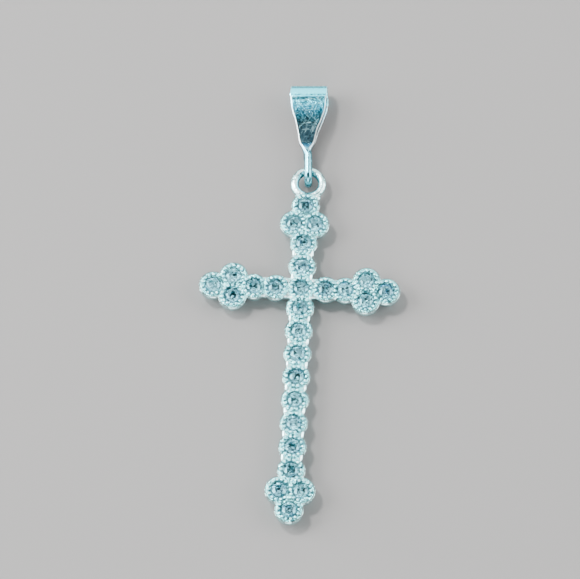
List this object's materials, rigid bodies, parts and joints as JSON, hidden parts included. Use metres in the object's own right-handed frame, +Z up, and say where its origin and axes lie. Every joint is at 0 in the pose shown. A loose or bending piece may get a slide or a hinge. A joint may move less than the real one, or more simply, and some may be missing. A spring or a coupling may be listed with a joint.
{
  "type": "cross pendant",
  "caption": "Budded cross pendant with round clear stones in beaded cups, a soldered ring and a folded bail, lying on its back.",
  "frame": {"origin": "on the surface that the pendant lies on, under the middle of its box", "axes": "+Z up out of the face with the stones, +Y along the stem towards the bail, +X to the right seen from the front"},
  "size_m": [0.0198, 0.0462, 0.0027],
  "materials": {
    "cast_silver": "bright polished casting with beaded rims",
    "bail_silver": "polished sheet, mottled and finely scratched by wear",
    "clear_stone": "clear brilliant-cut stone with flat polished facets"
  },
  "bodies": {
    "root": {"cross_frame": "cast_silver", "bail": "bail_silver", "stone_middle": "clear_stone", "stone_up_1": "clear_stone", "stone_up_2": "clear_stone", "stone_up_bud_a": "clear_stone", "stone_up_bud_b": "clear_stone", "stone_up_tip": "clear_stone", "stone_left_1": "clear_stone", "stone_left_2": "clear_stone", "stone_left_bud_a": "clear_stone", "stone_left_bud_b": "clear_stone", "stone_left_tip": "clear_stone", "stone_right_1": "clear_stone", "stone_right_2": "clear_stone", "stone_right_bud_a": "clear_stone", "stone_right_bud_b": "clear_stone", "stone_right_tip": "clear_stone", "stone_down_1": "clear_stone", "stone_down_2": "clear_stone", "stone_down_3": "clear_stone", "stone_down_4": "clear_stone", "stone_down_5": "clear_stone", "stone_down_6": "clear_stone", "stone_down_7": "clear_stone", "stone_down_8": "clear_stone", "stone_down_bud_a": "clear_stone", "stone_down_bud_b": "clear_stone", "stone_down_tip": "clear_stone"}
  },
  "joints": []
}
